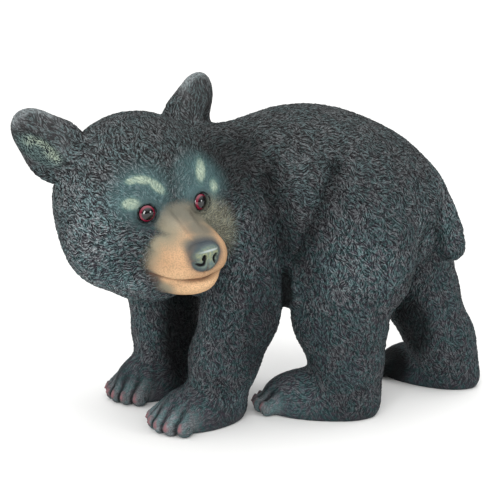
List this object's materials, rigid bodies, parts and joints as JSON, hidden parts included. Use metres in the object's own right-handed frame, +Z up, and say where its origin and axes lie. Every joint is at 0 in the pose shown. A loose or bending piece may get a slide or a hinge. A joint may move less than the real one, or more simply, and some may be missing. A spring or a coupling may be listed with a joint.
{
  "type": "bear cub statue",
  "caption": "Painted cast-resin garden statue of a walking black bear cub that turns its head to its left, with set-in glass eyes",
  "frame": {"origin": "on the ground, under the middle of the statue's box", "axes": "+X points to the tail and -X the way the cub walks, -Y is the cub's left side, where its face looks, +Z is up"},
  "size_m": [0.4626, 0.2302, 0.3237],
  "materials": {
    "painted_resin": "cast polyresin with carved fur, charcoal paint dry-brushed grey and blue-green, tan muzzle",
    "eye_glass": "polished glass eye, crimson iris ring and black pupil"
  },
  "bodies": {
    "root": {"bear_body": "painted_resin", "eye_left": "eye_glass", "eye_right": "eye_glass"}
  },
  "joints": []
}
